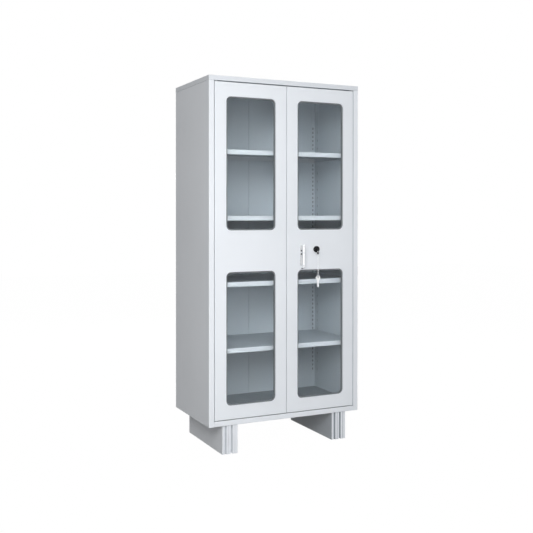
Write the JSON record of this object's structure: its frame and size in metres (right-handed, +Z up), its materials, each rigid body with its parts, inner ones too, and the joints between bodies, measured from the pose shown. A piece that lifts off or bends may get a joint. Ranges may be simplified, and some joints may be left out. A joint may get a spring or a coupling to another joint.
{
  "type": "glass door medical cabinet",
  "caption": "Free-standing sheet steel cabinet with hinged glass-windowed doors, lipped shelves on slotted uprights, a lever handle with lock and fluted box stands.",
  "frame": {"origin": "on the floor, under the middle of the bounding box", "axes": "+Z up, +X to the right of someone facing the doors, +Y from the doors towards the back"},
  "size_m": [0.914, 0.52, 1.981],
  "materials": {
    "cabinet_paint": "satin light grey powder coat",
    "inside_paint": "satin grey powder coat",
    "window_glass": "clear float glass",
    "gasket_rubber": "dark grey rubber channel",
    "bush_nylon": "plain grey nylon",
    "zinc_steel": "bright zinc plate",
    "handle_chrome": "polished chrome plate",
    "lock_black": "black satin",
    "key_nickel": "nickel plate"
  },
  "bodies": {
    "carcass": {"top_panel": "cabinet_paint", "bottom_panel": "cabinet_paint", "catch_magnet": "lock_black", "shelf_1": "cabinet_paint", "shelf_2": "cabinet_paint", "shelf_3": "cabinet_paint", "shelf_4": "cabinet_paint", "left_side_panel": "cabinet_paint", "left_back_panel": "inside_paint", "left_front_upright": "inside_paint", "left_rear_upright": "inside_paint", "left_stand": "cabinet_paint", "left_upper_bush": "bush_nylon", "left_lower_bush": "bush_nylon", "left_bracket_1": "inside_paint", "left_bracket_2": "inside_paint", "left_bracket_3": "inside_paint", "left_bracket_4": "inside_paint", "right_side_panel": "cabinet_paint", "right_back_panel": "inside_paint", "right_front_upright": "inside_paint", "right_rear_upright": "inside_paint", "right_stand": "cabinet_paint", "right_upper_bush": "bush_nylon", "right_lower_bush": "bush_nylon", "right_bracket_1": "inside_paint", "right_bracket_2": "inside_paint", "right_bracket_3": "inside_paint", "right_bracket_4": "inside_paint"},
    "left_leaf": {"left_door": "cabinet_paint", "left_upper_glass": "window_glass", "left_lower_glass": "window_glass", "left_upper_retainer": "gasket_rubber", "left_lower_retainer": "gasket_rubber", "left_upper_pin": "zinc_steel", "left_lower_pin": "zinc_steel", "catch_strike": "key_nickel"},
    "right_leaf": {"right_door": "cabinet_paint", "right_upper_glass": "window_glass", "right_lower_glass": "window_glass", "right_upper_retainer": "gasket_rubber", "right_lower_retainer": "gasket_rubber", "right_upper_pin": "zinc_steel", "right_lower_pin": "zinc_steel", "handle_backplate": "handle_chrome", "upper_bolt_guide": "zinc_steel", "lower_bolt_guide": "zinc_steel", "lock_body": "lock_black", "lock_nut": "key_nickel"},
    "handle_set": {"handle_lever": "handle_chrome", "handle_cam": "zinc_steel"},
    "upper_bolt_bar": {"upper_bolt": "zinc_steel"},
    "lower_bolt_bar": {"lower_bolt": "zinc_steel"},
    "key_set": {"lock_plug": "lock_black", "lock_cam": "zinc_steel", "key": "key_nickel"},
    "spare_key_set": {"key_loop": "key_nickel", "spare_key": "key_nickel"}
  },
  "joints": [
    {"name": "left_door_swing", "type": "hinge", "parent": "carcass", "child": "left_leaf", "pos_m": [-0.414, -0.218, 1.0675], "axis": [0, 0, -1], "range_deg": [0, 110]},
    {"name": "right_door_swing", "type": "hinge", "parent": "carcass", "child": "right_leaf", "pos_m": [0.414, -0.218, 1.0675], "axis": [0, 0, 1], "range_deg": [0, 110]},
    {"name": "handle_turn", "type": "hinge", "parent": "right_leaf", "child": "handle_set", "pos_m": [0.091, -0.226, 1.051], "axis": [0, 1, 0], "range_deg": [0, 90]},
    {"name": "upper_bolt_slide", "type": "slide", "parent": "right_leaf", "child": "upper_bolt_bar", "axis": [0, 0, 1], "range_m": [0, 0.02546]},
    {"name": "lower_bolt_slide", "type": "slide", "parent": "right_leaf", "child": "lower_bolt_bar", "axis": [0, 0, -1], "range_m": [0, 0.02546]},
    {"name": "key_turn", "type": "hinge", "parent": "right_leaf", "child": "key_set", "pos_m": [0.185, -0.226, 1.067], "axis": [0, 1, 0], "range_deg": [0, 90]},
    {"name": "spare_key_swing", "type": "hinge", "parent": "key_set", "child": "spare_key_set", "pos_m": [0.185, -0.246, 1.0548], "axis": [0, 1, 0], "range_deg": [-90, 0]}
  ],
  "couplings": [
    {"joint": "upper_bolt_slide", "follows": "handle_turn", "m_per_rad": 0.016206},
    {"joint": "lower_bolt_slide", "follows": "handle_turn", "m_per_rad": 0.016206},
    {"joint": "spare_key_swing", "follows": "key_turn", "ratio": -1}
  ]
}
